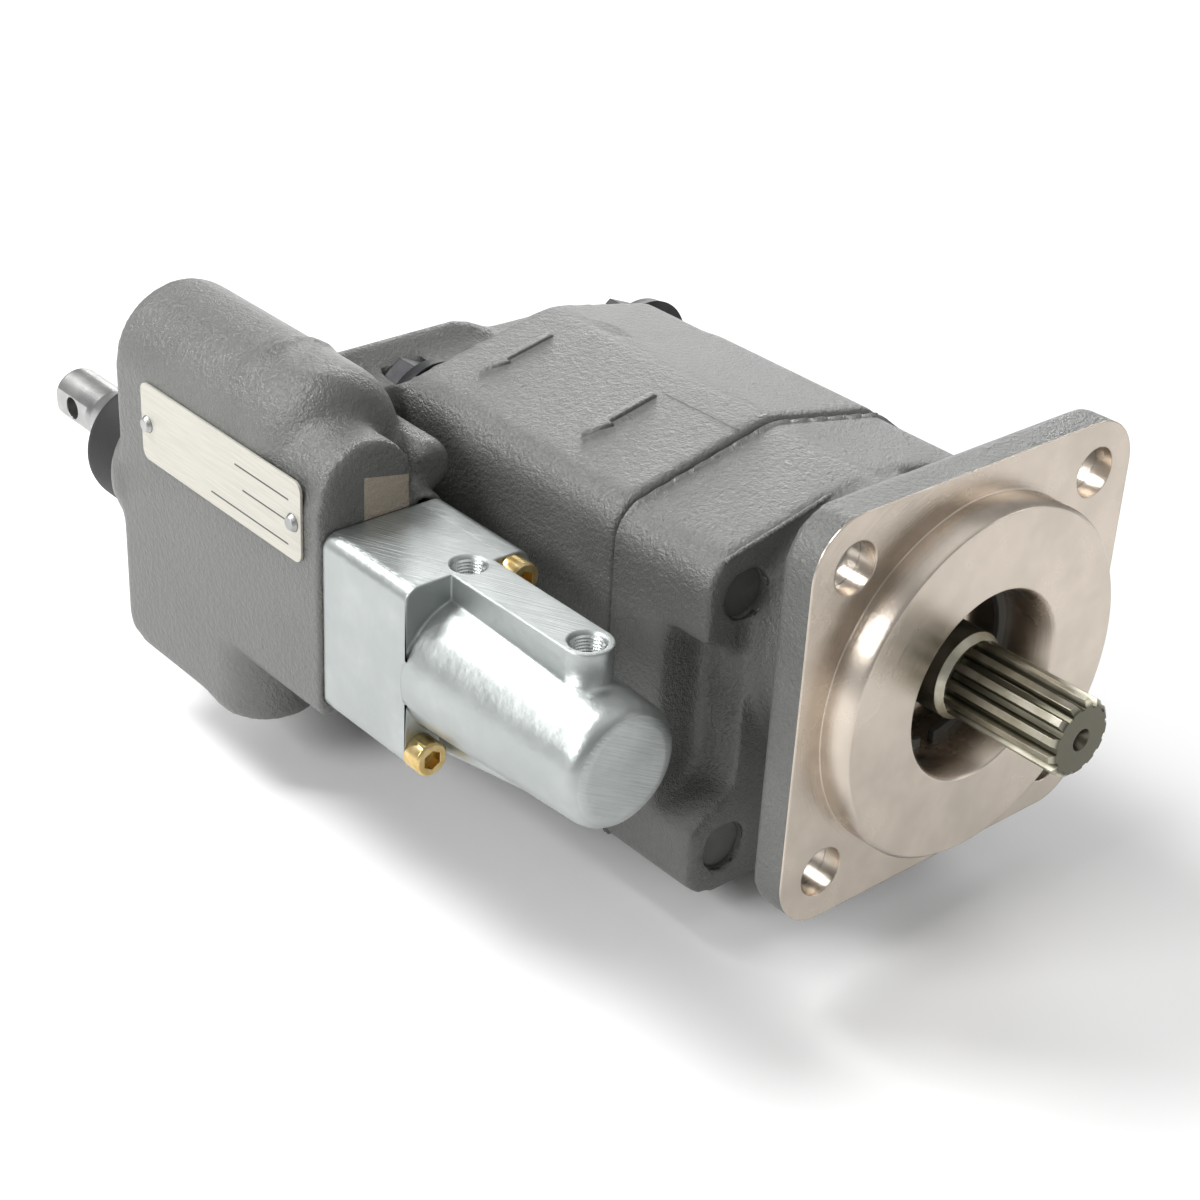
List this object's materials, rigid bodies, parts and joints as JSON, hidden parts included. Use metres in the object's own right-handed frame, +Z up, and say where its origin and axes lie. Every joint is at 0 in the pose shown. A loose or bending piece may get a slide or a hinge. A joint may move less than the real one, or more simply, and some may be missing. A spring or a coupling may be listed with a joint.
{
  "type": "hydraulic dump pump",
  "caption": "Hydraulic gear pump with square mounting flange, splined shaft, built-in sliding spool valve and an air-shift cylinder on its side, for dump body hoists.",
  "frame": {"origin": "centre of the mounting face of the square flange, on the shaft axis", "axes": "+X along the shaft out of the flange, +Z up with the driven gear below the drive gear, valve block on the -Y side"},
  "size_m": [0.3355, 0.1743, 0.144],
  "materials": {
    "painted_casting": "satin grey paint on sand casting",
    "bare_iron": "machined",
    "hardened_steel": "ground",
    "black_steel": "black oxide",
    "yellow_zinc": "yellow zinc plated steel",
    "bright_zinc": "brushed die casting",
    "bronze": "machined bronze",
    "rubber": "matt",
    "plate": "satin",
    "plain_steel": "satin",
    "fibre": "matt"
  },
  "bodies": {
    "housing": {"shaft_end_cover": "painted_casting", "gear_housing": "painted_casting", "port_end_cover": "painted_casting", "thrust_plates": "bronze", "shaft_bushings": "bronze", "housing_seals": "rubber", "dowel_pins": "plain_steel", "through_bolts": "black_steel", "shaft_seal": "rubber", "seal_ring": "black_steel", "air_cylinder": "bright_zinc", "air_gasket": "fibre", "air_screws": "yellow_zinc", "spool_seals": "rubber", "rear_boot": "rubber", "front_spring": "plain_steel", "rear_spring": "plain_steel", "spring_seat": "plain_steel", "relief_spring": "plain_steel", "relief_cap": "black_steel", "relief_screw": "plain_steel", "relief_nut": "plain_steel", "check_spring": "plain_steel", "check_plug": "black_steel", "name_plate": "plate", "plate_screws": "plain_steel"},
    "drive_gear": {"drive_gear_shaft": "hardened_steel"},
    "driven_gear": {"driven_gear_shaft": "hardened_steel"},
    "spool": {"control_spool": "plain_steel", "air_piston": "bright_zinc", "piston_seal": "rubber", "piston_screw": "black_steel"},
    "relief_valve": {"relief_poppet": "plain_steel"},
    "check_valve": {"check_poppet": "plain_steel"}
  },
  "joints": [
    {"name": "drive_shaft_spin", "type": "hinge", "parent": "housing", "child": "drive_gear", "pos_m": [-0.109, 0, 0], "axis": [1, 0, 0], "continuous": true},
    {"name": "driven_gear_spin", "type": "hinge", "parent": "housing", "child": "driven_gear", "pos_m": [-0.109, 0, -0.043], "axis": [1, 0, 0], "continuous": true},
    {"name": "spool_shift", "type": "slide", "parent": "housing", "child": "spool", "axis": [1, 0, 0], "range_m": [-0.008, 0.008], "stiffness_N_per_m": 900, "deforming": ["front_spring", "rear_spring"]},
    {"name": "relief_lift", "type": "slide", "parent": "housing", "child": "relief_valve", "axis": [-1, 0, 0], "range_m": [0, 0.002], "stiffness_N_per_m": 2000, "deforming": ["relief_spring"]},
    {"name": "check_lift", "type": "slide", "parent": "housing", "child": "check_valve", "axis": [0, 0, -1], "range_m": [0, 0.003], "stiffness_N_per_m": 400, "deforming": ["check_spring"]}
  ],
  "couplings": [
    {"joint": "driven_gear_spin", "follows": "drive_shaft_spin", "ratio": -1}
  ]
}
